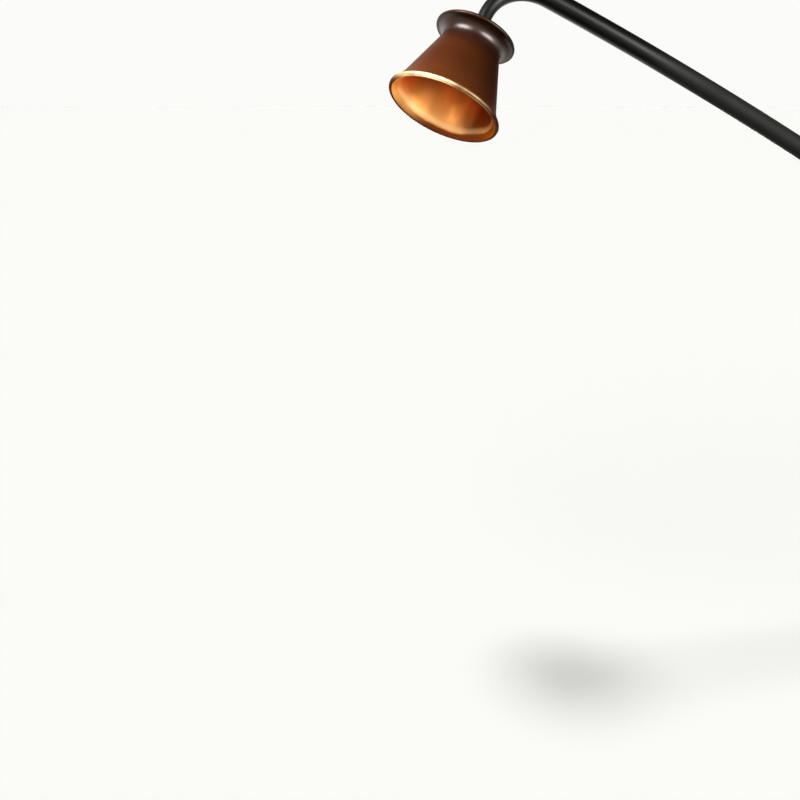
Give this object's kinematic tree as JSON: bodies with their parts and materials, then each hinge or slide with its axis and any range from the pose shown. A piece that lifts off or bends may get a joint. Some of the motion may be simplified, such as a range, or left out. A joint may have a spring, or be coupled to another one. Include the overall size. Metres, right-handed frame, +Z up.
{
  "type": "candle snuffer",
  "caption": "Hand-held snuffer: a flared bell with a flanged crown, bolted to the thin neck of a black tubular handle that bends over in a gooseneck.",
  "frame": {"origin": "centre of the bell's mouth, on the plane that its lip rests on", "axes": "+Z up the bell's axis from the mouth to the crown, +X out along the handle, with the handle's line in the XZ plane"},
  "size_m": [0.2954, 0.05, 0.0721],
  "materials": {
    "bell_bronze": "dark bronze-brown lacquer, glossy, coppery inside",
    "handle_black": "black satin paint",
    "fastener_steel": "plain steel, slightly sooted"
  },
  "bodies": {
    "root": {"bell": "bell_bronze", "handle_tube": "handle_black", "end_plug": "handle_black", "neck_stud": "fastener_steel", "seat_washer": "handle_black", "flat_washer": "fastener_steel", "lock_washer": "fastener_steel", "dome_nut": "fastener_steel"}
  },
  "joints": []
}
